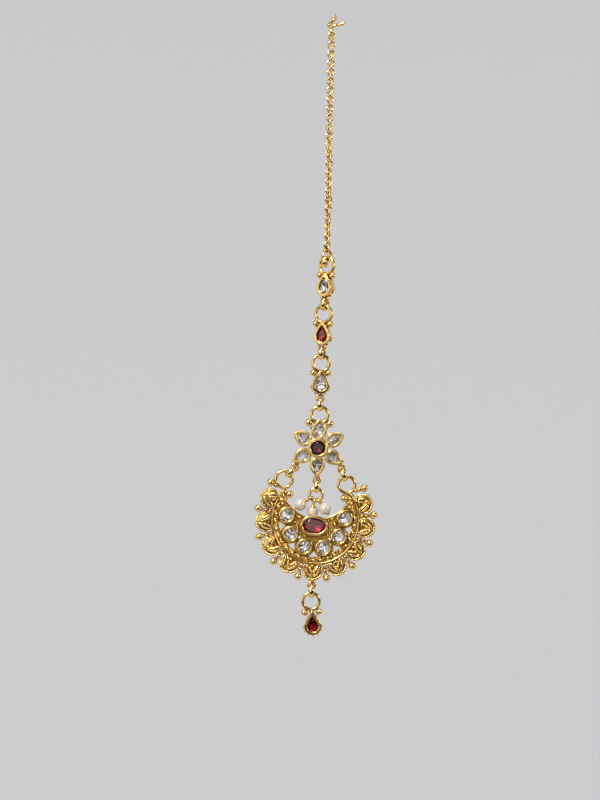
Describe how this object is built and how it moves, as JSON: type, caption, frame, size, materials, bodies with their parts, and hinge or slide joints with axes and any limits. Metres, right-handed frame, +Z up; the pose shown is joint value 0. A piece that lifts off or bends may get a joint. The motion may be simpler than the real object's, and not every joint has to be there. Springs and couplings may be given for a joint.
{
  "type": "maang tikka",
  "caption": "Hair-hook head ornament: fine chain, pear-set strand, flower and an openwork crescent with pearls and a pear drop.",
  "frame": {"origin": "inside top of the hook's arch, where the hair carries it", "axes": "+Z up along the hanging strand, -Y the face with the stones, +X to the right as seen from the front"},
  "size_m": [0.0344, 0.006, 0.1728],
  "materials": {
    "gold": "antique gold plate, satin with bright worn highlights and brown recesses",
    "crystal": "clear faceted, silver foil back",
    "ruby": "deep red faceted, foil back",
    "pearl": "cream pearl lustre"
  },
  "bodies": {
    "strand": {"hair_hook": "gold", "chain": "gold", "chain_ring": "gold", "pear_setting_upper": "gold", "pear_stone_upper": "crystal", "jump_ring_upper": "gold", "pear_setting_middle": "gold", "pear_stone_middle": "ruby", "jump_ring_middle": "gold", "pear_setting_lower": "gold", "pear_stone_lower": "crystal"},
    "pendant_link": {"jump_ring_pendant": "gold"},
    "pendant": {"crescent": "gold", "crescent_ruby": "ruby", "crescent_stone_1": "crystal", "crescent_stone_2": "crystal", "crescent_stone_3": "crystal", "crescent_stone_4": "crystal", "crescent_stone_5": "crystal", "crescent_stone_6": "crystal", "drop_setting": "gold", "drop_stone": "crystal", "flower_ruby": "ruby", "flower_setting": "gold", "jump_ring_center": "gold", "jump_ring_drop": "gold", "jump_ring_left": "gold", "jump_ring_right": "gold", "pearl_left": "pearl", "pearl_middle": "pearl", "pearl_pin_left": "gold", "pearl_pin_middle": "gold", "pearl_pin_right": "gold", "pearl_right": "pearl", "pearl_ring": "gold", "petal_stone_1": "crystal", "petal_stone_2": "crystal", "petal_stone_3": "crystal", "petal_stone_4": "crystal", "petal_stone_5": "crystal", "petal_stone_6": "crystal"}
  },
  "joints": [
    {"name": "pendant_sway", "type": "hinge", "parent": "strand", "child": "pendant_link", "pos_m": [0.0002, 0.00001, -0.10569], "axis": [0, 1, 0], "range_deg": [-60, 60]},
    {"name": "pendant_swing", "type": "hinge", "parent": "pendant_link", "child": "pendant", "pos_m": [0.00024, 0, -0.1079], "axis": [1, 0, 0], "range_deg": [-75, 75]}
  ]
}
